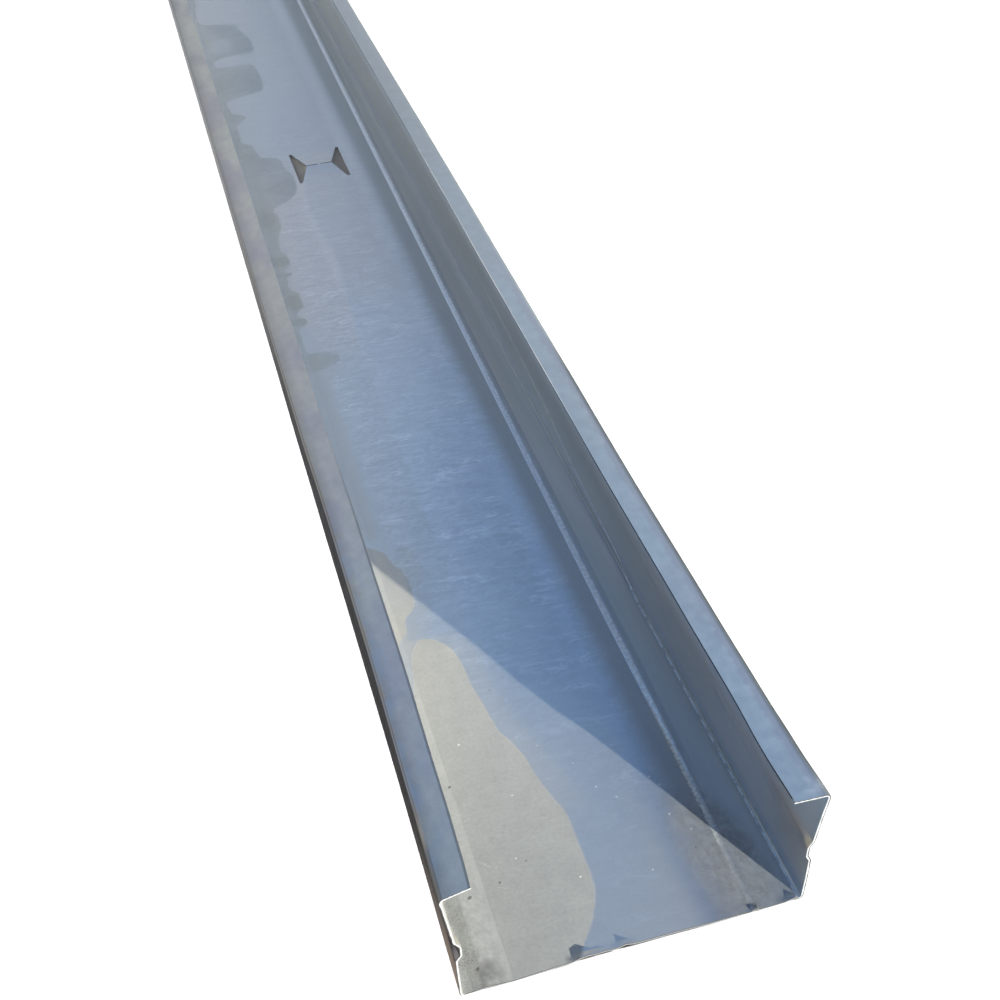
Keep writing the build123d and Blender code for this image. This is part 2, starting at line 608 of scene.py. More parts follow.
@dataclass(frozen=True)
class Here:
    """The shaded point in millimetres, and the coordinates that patterns use, in metres."""

    sheet: NodeSheet
    solid: Signal
    flat: Signal
    across: Signal
    along: Signal
    up: Signal
    cloud: Pair
    mottle_scale: float

    @classmethod
    def on(cls, sheet: NodeSheet, cloud: Pair = (30, 0.4), mottle_scale: float = 230) -> "Here":
        """Reads where the shaded point is.

        Args:
            sheet: The nodes to add to.
            cloud: How fine the clouds are, and how much they are drawn out along the stud.
            mottle_scale: How fine the mottle is.

        Returns:
            The point.
        """
        solid = sheet.read("TexCoord", "Object")
        split = sheet.add("SeparateXYZ", {0: solid})
        across, along, up = (Signal(sheet, output) * (1 / MM) for output in split.outputs)
        flat = sheet.read("UVMap", uv_map="unrolled")
        return cls(sheet, solid, flat, across, along - CAD_LOW.y / MM, up, cloud, mottle_scale)

    @cached_property
    def web(self) -> Signal:
        """1 on the web and 0 above it."""
        return self.up.fall(3.2, 4.6)

    @cached_property
    def on_rib(self) -> Signal:
        """Distance across, less the right rib's drift."""
        share = self.sheet.map_range("LINEAR", self.along, *Handling.drift_reach)
        return self.across - share * Handling.rib_drift[2]

    @cached_property
    def right(self) -> Signal:
        """1 on the right side and 0 on the left."""
        return self.across.step(-1, 1)

    @cached_property
    def left(self) -> Signal:
        """1 on the left side and 0 on the right."""
        return self.right.fall(0, 1)

    @cached_property
    def lip(self) -> Signal:
        """1 on the lips and 0 below them."""
        return self.up.step(31.8, 32.3)

    @cached_property
    def clouds(self) -> Signal:
        """Slow patches, from 0 to 1."""
        return self.sheet.noise(self.flat, self.cloud[0], 3, 0.6, stretch=(1, self.cloud[1], 1))

    @cached_property
    def mottle(self) -> Signal:
        """Patches of a few millimetres, from 0 to 1."""
        return self.sheet.noise(self.flat, self.mottle_scale, 3, 0.65)

    @cached_property
    def grain(self) -> Signal:
        """Fine grain, from 0 to 1."""
        return self.sheet.noise(self.flat, 2600, 2, 0.6)

    @cached_property
    def grime(self) -> Signal:
        """Uneven dirt, from 0 to 1."""
        return self.sheet.noise(self.flat, 620, 4, 0.7, stretch=(1, 0.6, 1))


def new_material(name: str) -> tuple[bpy.types.Material, NodeSheet]:
    """Makes a material with an empty node tree.

    Args:
        name: The material's name.

    Returns:
        The material and its sheet of nodes.
    """
    material = bpy.data.materials.new(name)
    material.use_nodes = True
    return material, NodeSheet(material.node_tree)


def add_object(name: str, data: bpy.types.ID) -> bpy.types.Object:
    """Adds an object to the scene.

    Args:
        name: Its name.
        data: Its mesh, lamp or camera.

    Returns:
        The object.
    """
    thing = bpy.data.objects.new(name, data)
    bpy.context.scene.collection.objects.link(thing)
    return thing


@dataclass(frozen=True)
class Blot:
    """One dried blot on the web: its centre and half size, across and along, its strength and its outline."""

    spot: Pair
    half: Pair
    strength: float
    square: float = 3
    soft: float = 0.25

    def drawn(self, sheet: NodeSheet, x: Signal, y: Signal) -> Signal:
        """Draws it: 1 inside and 0 outside."""
        return sheet.mark(x, y, self.spot, self.half, 0, self.soft, self.square)


@dataclass(frozen=True)
class DriedFilm:
    """The dull film that water left down the web's left side.

    Near the end it is one patch, given by how far right it reaches at each distance along, with a thin gap
    across it. Further on it is a row of blots that reach out from under the left lip.
    """

    patch: Points = (
        (0, -11.5), (3, -8.8), (8, -5.6), (15, -3.4), (24, -2.9), (32, -3.3), (40, -4.9), (48, -6.6),
        (55, -8.2), (60, -10.2), (67, -11.3), (80, -12.7), (87, -13.8), (90, -15.4), (92.6, -18),
        (94, -22.5), (98.3, -22.1), (100.8, -21.5), (103.5, -19.3), (108, -18.1), (116, -18.2),
        (122, -20.2), (126, -21.2), (130, -24.6), (134, -27))
    gap_low: Points = (
        (-27, 72), (-24.8, 79), (-23.9, 84), (-23.2, 87.8), (-22, 90.8), (-19.9, 93), (-17, 93.2))
    gap_high: Points = (
        (-27, 90), (-25.2, 92.5), (-23.4, 95.2), (-22, 98.3), (-19.5, 103), (-17, 106))
    far: Points = (
        (214, -27), (218, -20), (222, -15), (226, -20), (231, -24.5), (242, -24), (247, -20.8),
        (252, -23.4), (257, -20.4), (265, -20.3), (270, -23), (284, -22), (287, -19.8), (293, -20),
        (298, -22), (306, -21), (314, -18.8), (322, -18), (328, -19.4), (332, -16), (336, -11.2),
        (341, -8.6), (350, -7.4), (362, -9.5), (371, -10), (375, -16.5), (383, -18.4), (389, -19),
        (394, -22.4), (411, -22.6), (417, -17.4), (424, -22.4), (437, -23.4), (441, -9), (445, -6),
        (459, -5.2), (470, -5.8), (476, -9), (479, -22.5), (486, -23), (490, -8), (494, -3), (501, -3),
        (510, -4.2), (521, -6.4), (530, -10), (536, -20), (545, -24), (590, -21.5), (640, -24))
    blots: tuple[Blot, ...] = (
        Blot((-16.8, 119), (3.6, 10), 0.3, 2), Blot((-22.5, 222), (8.2, 6.4), 0.6, 2, 0.4),
        Blot((-23.5, 247), (3.1, 2.5), 0.75), Blot((-23.5, 260.5), (3.3, 5.8), 0.8),
        Blot((-23.5, 279.5), (3.5, 1.5), 0.7), Blot((-23.5, 289.5), (4.1, 4.1), 0.85),
        Blot((-23, 322), (5.4, 8), 0.75, 3, 0.4), Blot((-22.5, 379.5), (5.4, 4.4), 0.7, 2, 0.5),
        Blot((-15, 459), (10.4, 20), 0.6, 3, 0.5), Blot((-8, 499), (5.4, 12.5), 0.68, 3, 0.5),
        Blot((-13.5, 524), (8, 9), 0.68, 3, 0.7))
    ring: Blot = Blot((-17.5, 504), (6.4, 13.5), 0.45, 2.5, 0.6)
    bare: float = -40

    def mask(self, here: Here) -> Signal:
        """Works out where the film lies.

        Args:
            here: The shaded point.

        Returns:
            1 on the film and 0 off it.
        """
        sheet, along = here.sheet, here.along
        wander = sheet.noise(here.solid, 95, 3, 0.55) - 0.5
        x = here.across + wander * 2.4 + (sheet.noise(here.solid, 600, 3, 0.6) - 0.5) * 0.9
        y = along - wander * 3
        fingers = sheet.noise(here.solid, 24, 3, 0.55, stretch=(0.12, 1, 1))
        further = ((fingers * 46 - (x + 46.5)).step(-0.6, 0.6) * along.step(600, 660)
                   * fingers.step(0.45, 0.75, 0.2, 0.55))
        haze = x.step(-25, -16, 0.42, 0) * along.band(136, 214, 8)
        return sheet.most(self.near_patch(here, x, y), haze, self.far_blots(here, x, y), further)

    def near_patch(self, here: Here, x: Signal, y: Signal) -> Signal:
        """Draws the patch by the near end, with its gap and the faint halo beside it.

        Args:
            here: The shaded point.
            x: Distance across, made uneven.
            y: Distance along, made uneven.

        Returns:
            1 on the patch and 0 off it.
        """
        sheet, along = here.sheet, here.along
        inside = sheet.mix(along.step(130, 136), y.curve(self.patch, -27, 0), self.bare) - x
        gap = ((y - x.curve(self.gap_low, 70, 110)).step(-0.4, 0.4)
               * (x.curve(self.gap_high, 70, 110) - y).step(-0.4, 0.4) * along.fall(108, 112))
        halo = inside.step(-9, -0.5, 0, 0.24) * along.band(45, 108, 20)
        return sheet.most(inside.step(-0.5, 0.5) * (1 - gap * 0.5), halo) * along.step(100, 112, 1, 0.75)

    def far_blots(self, here: Here, x: Signal, y: Signal) -> Signal:
        """Draws the blots further along, over the thin veil that joins them.

        Args:
            here: The shaded point.
            x: Distance across, made uneven.
            y: Distance along, made uneven.

        Returns:
            1 on a blot and 0 off it.
        """
        sheet = here.sheet
        inside = sheet.mix(here.along.band(216, 634, 4), self.bare, y.curve(self.far, -27, 0)) - x
        veil = inside.step(-0.5, 0.5) * sheet.noise(here.solid, 60).step(0.35, 0.65, 0.48, 0.66)
        drops = sheet.most(veil, *(blot.drawn(sheet, x, y) * blot.strength for blot in self.blots))
        return drops * (1 - self.ring.drawn(sheet, x, y) * self.ring.strength)


@dataclass(frozen=True)
class ChannelZinc:
    """The sheet's inner face: cool zinc with fine cross strokes and dull dried films, with painted shade,
    reflections and highlights.
    """

    name: str = "galvanised_channel"
    cool: Colour = (0.42, 0.475, 0.55)
    pale: Colour = (0.61, 0.635, 0.655)
    distant: Colour = (0.55, 0.575, 0.61)
    warm: Colour = (0.535, 0.53, 0.545)
    sheen: Colour = (0.70, 0.67, 0.672)
    near_tone: Colour = (0.60, 0.585, 0.57)
    near_strip_reflection: Colour = (0.54, 0.64, 0.78)
    far_strip_reflection: Colour = (0.68, 0.72, 0.77)
    near_right_shade: Colour = (0.45, 0.50, 0.60)
    near_crest_shading: Stops = (
        (26.2, (0.45, 0.54, 0.66)), (28.5, (0.385, 0.485, 0.615)), (31.5, (0.42, 0.49, 0.60)),
        (32.6, (0.48, 0.52, 0.59)), (33.5, (0.45, 0.48, 0.51)), (34, (0.31, 0.33, 0.35)),
        (34.4, (0.19, 0.225, 0.27)))
    far_crest_shading: Stops = (
        (26.2, (0.575, 0.59, 0.66)), (28.5, (0.41, 0.455, 0.52)), (31.5, (0.38, 0.43, 0.485)),
        (33.1, (0.45, 0.485, 0.51)), (33.7, (0.51, 0.53, 0.54)), (34, (0.42, 0.44, 0.46)),
        (34.4, (0.37, 0.40, 0.43)))
    near_flange_shading: Stops = (
        (0.9, (0.27, 0.315, 0.375)), (1.6, (0.31, 0.335, 0.355)), (2.6, (0.37, 0.38, 0.385)),
        (3.5, (0.41, 0.405, 0.40)), (5, (0.505, 0.48, 0.435)), (8, (0.53, 0.50, 0.445)),
        (14, (0.545, 0.50, 0.45)), (17, (0.49, 0.44, 0.38)), (20.5, (0.46, 0.49, 0.52)),
        (31.5, (0.52, 0.565, 0.61)))
    far_flange_shading: Stops = (
        (0.9, (0.44, 0.48, 0.505)), (1.7, (0.56, 0.575, 0.59)), (3.1, (0.62, 0.62, 0.62)),
        (5, (0.66, 0.655, 0.615)), (8, (0.65, 0.645, 0.60)), (11, (0.57, 0.565, 0.53)),
        (14, (0.50, 0.49, 0.46)), (17, (0.445, 0.445, 0.42)), (20.5, (0.54, 0.56, 0.58)),
        (31.5, (0.62, 0.65, 0.68)))
    rib_reflection_tones: Stops = (
        (20, (0.40, 0.43, 0.46)), (45, (0.47, 0.47, 0.46)), (90, (0.425, 0.43, 0.44)),
        (150, (0.40, 0.43, 0.48)), (330, (0.52, 0.56, 0.60)))
    near_film: Colour = (0.355, 0.375, 0.395)
    film: Colour = (0.435, 0.445, 0.455)
    far_film: Colour = (0.45, 0.475, 0.48)
    stain: Colour = (0.17, 0.185, 0.225)
    ripple_highlight: Colour = (0.88, 0.90, 0.92)
    glint_and_scratch: Colour = (0.90, 0.90, 0.89)
    soot: Colour = (0.10, 0.10, 0.105)
    metallic: float = 0.88
    clean_metallic: float = 0.84
    film_metallic: float = 0.55
    polish: Pair = (0.29, 0.33)
    dulled: float = 0.58
    ripple_height: float = 0.00005
    grain_height: Pair = (0.0000007, 0.0000012)
    bend_highlight_line: Points = ((0, -0.1), (88, -0.1), (106, 2.2), (140, 4.6), (170, 8.5), (236, 12), (260, 12.5))
    dried: DriedFilm = DriedFilm()
    specks: tuple[Triple, ...] = (
        (-19.6, 58.5, 0.34), (-6.9, 56.2, 0.22), (-3.4, 52.4, 0.24), (2.6, 45.3, 0.22), (5.2, 37.7, 0.3),
        (8.4, 33.9, 0.26), (-5.2, 17.4, 0.3), (16.9, 36.8, 0.32), (18.2, 34.2, 0.3), (17.4, 26.4, 0.26),
        (20.3, 21.6, 0.24), (12.2, 47.4, 0.24), (-12.4, 41.2, 0.22), (-16.2, 25.8, 0.24), (9.1, 14.6, 0.22))
    pits: tuple[Triple, ...] = (
        (-24.5, 47.9, 0.5), (-27.6, 19.8, 0.62), (19.4, 17.1, 0.4), (-20.9, 21.4, 0.4), (-30.3, 4.2, 0.5),
        (-14.4, 24.6, 0.26), (-8.8, 71.5, 0.22), (-26.4, 33.5, 0.26))
    scratches: tuple[tuple[float, float, float, float], ...] = (
        (-22.6, 26.6, 2.6, -48), (-20.2, 25.4, 2.4, 38), (-20.6, 20, 1.9, -30), (-24.6, 40.2, 2, -35),
        (-23.2, 38.4, 1.5, 25), (3.6, 61.5, 2.6, 24), (-12, 57, 1.6, 72), (14.2, 72, 2.2, 12))

    def material(self) -> bpy.types.Material:
        """Makes the material.

        Returns:
            The material.
        """
        material, sheet = new_material(self.name)
        here = Here.on(sheet)
        across, along, web = here.across, here.along, here.web

        left_foot = across.fall(-31, -28) * here.mottle.step(0.2, 0.8, 0.75, 1) * along.step(125, 190, 1, 0.6)
        film = sheet.most(self.dried.mask(here) * web, left_foot)
        faint = (here.mottle * 3 + across).step(-7, -5.2, 0.12, 0) * along.band(120, 330, 40) * web
        cover = sheet.most(film * here.mottle.step(0.1, 0.7, 1, 0.9), faint)
        tone = self.clean(here).veiled(cover, self.film_tone(here))

        ripples, lines = self.strokes(here)
        middle = web * across.band(-17, 17, 6) * along.step(270, 420, 1, 0.25)
        where = (middle * along.step(10, 140, 0.35, 1) * here.clouds.step(0.3, 0.6, 0.55, 1)
                 * film.step(0, 1, 1, 0.3))
        # The ripples' crest lines are painted highlights, and the ripples' own painted shading lightens and
        # darkens the colour over the bump.
        tone = tone.veiled(lines * where * 0.34, self.ripple_highlight)
        tone = tone.lit(ripples.step(0.34, 0.66, -0.08, 0.09) * where + 1,
                        here.grain.step(0.25, 0.75, 0.965, 1.035))

        rusty = (sheet.mark(across, along, (24, 13), (9.5, 23), 6, 0.8)
                 * here.mottle.step(0.3, 0.62, 0.35, 1) * web)
        tone, foot = self.soiled(here, tone, rusty)
        bright, dark = self.marks(here)
        # The specks are painted glints and the scratches bared zinc; the pits are dark.
        tone = tone.veiled(bright * 0.9, self.glint_and_scratch).veiled(dark * 0.8, self.soot)
        tone = self.with_lines(here, tone)

        dull = sheet.most(cover, bright * 0.8, dark, rusty * 0.6, foot)
        rough = sheet.mix(dull, here.mottle.step(0.2, 0.8, *self.polish), self.dulled)
        metal = sheet.mix(dull, sheet.mix(web, self.clean_metallic, self.metallic), self.film_metallic)
        relief = middle * along.step(10, 140, 0.3, 0.85) * (along * 0.25 + across).step(3, 9, 0.4, 1)
        height = ripples * relief * self.ripple_height + here.grain * sheet.mix(web, *self.grain_height)
        sheet.surface(tone, metal, rough, height)
        return material

    def clean(self, here: Here) -> Signal:
        """Colours the bare zinc on the web, its right foot and the flanges, with painted shade and
        reflections.

        Args:
            here: The shaded point.

        Returns:
            The colour.
        """
        sheet, across, along, up = here.sheet, here.across, here.along, here.up
        shift = (here.clouds - 0.5) * 16 + across
        distant = sheet.blend(along.band(275, 345, 50), self.distant, self.warm)
        strip_reflection = sheet.blend(along.step(60, 300), self.near_strip_reflection, self.far_strip_reflection)
        near = sheet.blend(across.step(11, 17), self.near_tone, self.near_right_shade)
        crest = across.ramp(self.near_crest_shading).veiled(along.step(70, 210), across.ramp(self.far_crest_shading))
        flange_shading = up.ramp(self.near_flange_shading).veiled(along.step(50, 170), up.ramp(self.far_flange_shading))
        # Pale on the left to cool blue on the right, shifted by the clouds: painted skylight on the left and
        # a painted blue sky reflection on the right.
        tone = sheet.blend(shift.step(-18, 18), self.pale, self.cool)
        tone = tone.veiled(along.step(140, 260) * 0.72, distant).lit(along.band(190, 320, 80) * 0.08 + 1)
        tone = tone.veiled(shift.band(-19, -8, 3) * along.band(245, 330, 45) * 0.75, self.sheen)
        # Beside the right rib the web is tinted with a painted blue sky reflection, and past X 20 it is
        # darkened, a painted reflection of the dark flange.
        tone = tone.veiled(across.step(11, 19) * along.step(22, 60), strip_reflection)
        tone = tone.lit(across.step(18.5, 21.5, 1, 0.87))
        # Near the end the web takes a warm tone, which past X 14 turns to a bluer painted shade.
        tone = tone.veiled(sheet.map_range("LINEAR", along, 75, 0), near)
        # Between the right rib and the flange: a painted reflection of the flange, with painted shade in the
        # bend near the end and a painted highlight on it further along.
        tone = tone.veiled(here.on_rib.step(25.8, 26.4) * along.step(5, 30, 0.5, 1), crest)
        # Up the flanges and their lower bends the colour follows height: painted shade at the foot, painted
        # warm bounce light halfway up near the end, and lighter towards the top.
        low_wall = up.step(0.8, 1.1) * across.step(34, 34.3)
        return tone.veiled(sheet.most(low_wall, 1 - here.web), flange_shading.lit(along.step(260, 400, 1, 1.08)))

    def film_tone(self, here: Here) -> Signal:
        """Colours the dried film.

        Args:
            here: The shaded point.

        Returns:
            The colour.
        """
        sheet, across, along = here.sheet, here.across, here.along
        tone = sheet.blend(along.step(15, 90), self.near_film, self.film)
        tone = tone.veiled(along.step(150, 230), self.far_film)
        tone = tone.lit(along.step(400, 490, 1, 1.09), here.mottle.step(0.25, 0.8, 1.05, 0.91),
                        here.clouds.step(0.2, 0.8, 1.06, 0.94),
                        sheet.noise(here.flat, 1100, 3, 0.6).step(0.3, 0.7, 0.955, 1.045),
                        across.step(-33.5, -29, 0.84, 0.97))
        dirty = across.fall(-28, -23) * along.step(15, 70, 1, 0.25)
        return tone.lit(sheet.mix(dirty, 1, here.grime.step(0.3, 0.7, 0.86, 1.1)))

    def strokes(self, here: Here) -> tuple[Signal, Signal]:
        """Makes the zinc's fine marks across the sheet: low ripples, and broken lines along their crests.

        Args:
            here: The shaded point.

        Returns:
            The ripples, from 0 to 1, and the lines, which are 1 on a line.
        """
        sheet, flat = here.sheet, here.flat
        first = sheet.noise(flat, 420, 1, 0.5, 0.8, (0.26, 1, 1), 6)
        second = sheet.noise(flat, 760, 2, 0.6, 1.1, (0.42, 1, 1), -3)
        patchy = sheet.noise(flat, 170, 1, stretch=(0.5, 1, 1))
        crests = [abs(noise - middle).fall(0.008, 0.04) for noise, middle in ((first, 0.60), (second, 0.63))]
        return first * 0.35 + second * 0.65, sheet.most(*crests) * patchy.step(0.5, 0.62)

    def soiled(self, here: Here, tone: Signal, rusty: Signal) -> tuple[Signal, Signal]:
        """Adds the brown stain by the right rib, its freckles, and the dirt in the left foot.

        Args:
            here: The shaded point.
            tone: The colour without them.
            rusty: How strong the brown stain is.

        Returns:
            The colour, and how strong the dirt in the foot is.
        """
        sheet, across, along, mottle = here.sheet, here.across, here.along, here.mottle
        pocked = sheet.noise(here.flat, 3400, 1)
        foot = ((here.clouds * 5 + across).band(-31, -27.5, 2.5) * along.fall(0, 60)
                * (mottle * 0.35 + pocked).step(0.76, 0.86))
        corner = sheet.mark(across, along, (-28.4, 2), (3.4, 4.6), 0, 0.8) * mottle.step(0.2, 0.6)
        tone = tone.veiled(rusty * here.grime.step(0.3, 0.7, 0.5, 0.9), self.stain)
        return tone.veiled(sheet.most(rusty * pocked.step(0.61, 0.67), foot, corner) * 0.6, self.soot), foot

    def marks(self, here: Here) -> tuple[Signal, Signal]:
        """Draws the specks, which are painted glints, and the scratches, which are bright, and the pits,
        which are dark.

        Args:
            here: The shaded point.

        Returns:
            The bright marks and the dark ones, from 0 to 1.
        """
        sheet, place = here.sheet, (here.across, here.along)
        bright = sheet.most(*(sheet.mark(*place, (x, y), (r, r)) for x, y, r in self.specks))
        scored = sheet.most(*(sheet.mark(*place, (x, y), (r, 0.15), a, 0.8) for x, y, r, a in self.scratches))
        dark = sheet.most(*(sheet.mark(*place, (x, y), (r, r * 0.7), 40) for x, y, r in self.pits))
        bright = sheet.most(bright * 0.7, scored * here.grain.step(0.35, 0.6) * 0.22)
        return bright * here.web, dark * here.web

    def with_lines(self, here: Here, tone: Signal) -> Signal:
        """Adds the right rib's grainy crest, a painted sky reflection, and a dotted painted highlight along
        the bend beside it.

        Args:
            here: The shaded point.
            tone: The colour without them.

        Returns:
            The colour.
        """
        sheet, across, along, on_rib = here.sheet, here.across, here.along, here.on_rib
        flecks = sheet.noise(here.flat, 1300, 2, 0.6)
        uneven = (flecks - 0.5) * 0.9 + on_rib
        # The rib's bright grainy band is a painted sky reflection on its flank, brighter still near the end.
        rib = (here.web * (uneven - along.step(140, 300, 0, 0.45)).step(24.15, 24.3)
               * uneven.fall(25.4, 25.55) * along.step(8, 36, 0.15, 1))
        flattened = on_rib.fall(24.8, 25.2) * along.step(40, 75, 0.7, 0)
        crest = along.ramp(self.rib_reflection_tones).lit(flecks.step(0.3, 0.7, 0.8, 1.24), flattened + 1)
        tone = tone.veiled(rib, crest)
        # A dotted painted highlight along the right bend, climbing the flange further along.
        dots = sheet.noise(here.flat, 900, 2, 0.6, stretch=(1, 0.4, 1)).step(0.40, 0.56, 0.25, 1)
        off_line = abs(across - 34.5 + here.up - along.curve(self.bend_highlight_line, -1, 13))
        line = (off_line.step(0.08, along.step(90, 170, 0.25, 1.4), 1, 0) * dots * across.step(31, 32)
                * along.fall(215, 255))
        return tone.lit(line * along.step(90, 130, 1.7, 0.35) + 1)


@dataclass(frozen=True)
class OutsideZinc:
    """The sheet's outer face: the lips' mottled tops, and the left flange dulled and painted dark, a painted
    reflection of the ground.
    """

    round_length: float
    right_lip: float
    name: str = "galvanised_outside"
    right: Colour = (0.55, 0.62, 0.665)
    far_right: Colour = (0.43, 0.475, 0.505)
    left: Colour = (0.62, 0.57, 0.505)
    far_left: Colour = (0.66, 0.643, 0.567)
    violet: Colour = (0.46, 0.42, 0.46)
    blue: Colour = (0.39, 0.45, 0.53)
    banded: Colour = (0.42, 0.44, 0.50)
    dark_reflection: Colour = (0.10, 0.10, 0.11)
    scuffed: Colour = (0.78, 0.78, 0.78)
    bright: Colour = (0.92, 0.93, 0.93)
    lip_flat: float = 5.43
    metallic: float = 0.92
    polish: Pair = (0.29, 0.37)
    dulled: float = 0.6
    relief: Pair = (0.000015, 0.0000018)

    def material(self) -> bpy.types.Material:
        """Makes the material.

        Returns:
            The material.
        """
        material, sheet = new_material(self.name)
        here = Here.on(sheet, (60, 0.45), 260)
        across, along, mottle, lip = here.across, here.along, here.mottle, here.lip
        run = sheet.read("SeparateXYZ", 0, {0: here.flat}) * (1 / MM)
        round_bend = run - self.lip_flat
        tone, bend_shade = self.right_edge(here, self.lip_tone(here), run)
        tone = self.left_bend(here, tone, round_bend)
        streak = sheet.noise(here.flat, 900, 3, 0.6, stretch=(1, 0.03, 1))
        smudge = sheet.mark(across, along, (33.6, 3), (3, 2.4), 0, 0.8) * lip * mottle.step(0.35, 0.62)
        scuffs = (sheet.noise(here.flat, 700, 3, 0.6, stretch=(1, 0.35, 1), turn=30).step(0.66, 0.74)
                  * across.band(33, 36, 0.8) * lip)
        # A painted highlight along the right lip's free edge: white, not metallic.
        edge_highlight = ((self.round_length - run).fall(0.06, 0.18) * along.band(150, 270, 40)
                     * streak.step(0.35, 0.5, 0.3, 0.65))
        tone = tone.veiled(sheet.most(smudge, scuffs) * 0.4, self.scuffed).veiled(edge_highlight, self.bright)
        # Painted shade along the left lip's free edge, strongest near the end.
        inner = run.fall(0.3, 0.5) * along.step(80, 150, 1, 0.1)
        tone = tone.lit(inner.step(0, 1, 1, 0.6))
        # The left flange's upper outer face is painted near black and made dull: a painted dark reflection of
        # the ground.
        dark_reflection = (round_bend.step(1, 1.2) * here.up.step(16, 19) * here.left * streak.step(0.3, 0.7, 0.7, 1)
                 * along.step(2, 14, 0.3, 1))
        tone = tone.veiled(dark_reflection, self.dark_reflection).lit(here.grain.step(0.25, 0.75, 0.96, 1.04))
        metal = sheet.mix(sheet.most(dark_reflection * 0.75, edge_highlight), self.metallic, 0)
        rough = sheet.mix(sheet.most(dark_reflection, bend_shade), mottle.step(0.2, 0.8, *self.polish), self.dulled)
        coarse, fine = self.relief
        sheet.surface(tone, metal, rough, mottle * coarse + here.grain * fine)
        return material

    def lip_tone(self, here: Here) -> Signal:
        """Colours the two lips and what is below them, with soft patches of violet and blue.

        Args:
            here: The shaded point.

        Returns:
            The colour.
        """
        sheet, across, along, right = here.sheet, here.across, here.along, here.right
        left_lip = here.left * here.lip
        tone = sheet.blend(along.step(150, 400), self.left, self.far_left)
        tone = tone.veiled(right, sheet.blend(along.step(110, 380), self.right, self.far_right))
        tone = tone.veiled(here.clouds.step(0.42, 0.64) * sheet.mix(right, 0.6, 0.15), self.violet)
        shaded = left_lip * along.step(90, 200, 1, 0.5)
        tone = tone.lit(sheet.mix(shaded, 0.88, across.step(-36, -32.4, 0.72, 1.02)),
                        sheet.mix(right, along.step(220, 420, 1, 0.86), 1),
                        here.mottle.step(0.25, 0.75, 0.93, 1.06))
        patches = sheet.noise(here.flat, 190, 3, 0.6, stretch=(1, 0.5, 1)).step(0.4, 0.62)
        share = left_lip * along.band(20, 90, 25) * patches * across.step(-36, -31.5, 0.7, 0.1)
        return tone.veiled(share, self.blue)

    def right_edge(self, here: Here, tone: Signal, run: Signal) -> tuple[Signal, Signal]:
        """Darkens the right lip beside its bend with a ragged band, and paints shade on the bend itself.

        Args:
            here: The shaded point.
            tone: The colour without it.
            run: Distance round the sheet.

        Returns:
            The colour, and 1 where the sheet turns down.
        """
        along, on_right = here.along, here.right * here.lip
        from_bend = run - (self.round_length - self.right_lip)
        ragged = (here.mottle - 0.5) * 3 + from_bend + (here.clouds - 0.5) * 3
        banded = on_right * ragged.fall(2.2, 3.4) * from_bend.step(0.9, 1.4) * along.step(130, 300, 1, 0.1)
        # Painted shade on the right lip's bend, and next to it near the end.
        bend_shade = here.right * (here.mottle * 0.4 + from_bend).fall(0.5, 1.2) * here.up.step(30, 31)
        rim = on_right * along.band(15, 140, 30)
        tone = tone.veiled(banded * 0.85, self.banded)
        tone = tone.lit(bend_shade.step(0, 1, 1, 0.5), here.sheet.mix(rim, 1, from_bend.step(0.7, 1.9, 0.42, 1)))
        return tone, bend_shade

    @staticmethod
    def left_bend(here: Here, tone: Signal, round_bend: Signal) -> Signal:
        """Paints shade in a line beside the left lip's bend, and on the bend at the cut.

        Args:
            here: The shaded point.
            tone: The colour without it.
            round_bend: Distance round the sheet from where the bend starts.

        Returns:
            The colour.
        """
        along = here.along
        fold = here.left * along.step(480, 620, 1, 0.2)
        # Painted shade: a dark line beside the bend, and the bend darkened at the cut.
        bend_shade_line = fold * round_bend.band(0.35, 0.62, 0.12) * along.step(120, 300, 1, 0.5) * along.step(10, 24)
        at_cut = fold * round_bend.band(0, 1, 0.1) * along.fall(8, 16)
        return tone.lit(bend_shade_line.step(0, 1, 1, 0.62), at_cut.step(0, 1, 1, 0.6))


@dataclass(frozen=True)
class CutMetal:
    """The sheared edges, each with a bright band where the blade slid and a dark one where the sheet tore.

    The bright band is next to the channel on the flanges and lips, and underneath along the web. Along the
    lips' free edges the whole edge takes the dark colour instead, as painted shade that fades further along.
    """

    name: str = "sheared_edge"
    bare: Colour = (0.46, 0.52, 0.64)
    torn_and_shade: Colour = (0.05, 0.052, 0.058)
    metallic: float = 0.75

    def material(self) -> bpy.types.Material:
        """Makes the material.

        Returns:
            The material.
        """
        material, sheet = new_material(self.name)
        here = Here.on(sheet)
        side = abs(here.across)
        scored = sheet.noise(here.solid, 2600, 3, 0.6, stretch=(1, 1, 0.2))
        ragged = (scored - 0.5) * 0.5 + sheet.read("Attribute", "Fac", attribute_name="depth")
        web = here.up.fall(2, 3) * side.fall(33.4, 34.4)
        # Painted shade: the lips' free edges take the dark colour, fading further along.
        lip_edge_shade = (here.up.step(30, 31) * side.band(0, 31, 0.5) * here.along.step(0.8, 1.4)
                    * here.along.step(80, 190, 1, 0.35))
        slid = sheet.mix(web, ragged.step(0.30, 0.44), ragged.fall(0.44, 0.56)) * sheet.mix(web, 1, 0.6)
        tone = sheet.blend(sheet.mix(lip_edge_shade, slid, 0), self.torn_and_shade, self.bare)
        sheet.surface(tone, self.metallic, scored.step(0.3, 0.7, 0.35, 0.5))
        return material


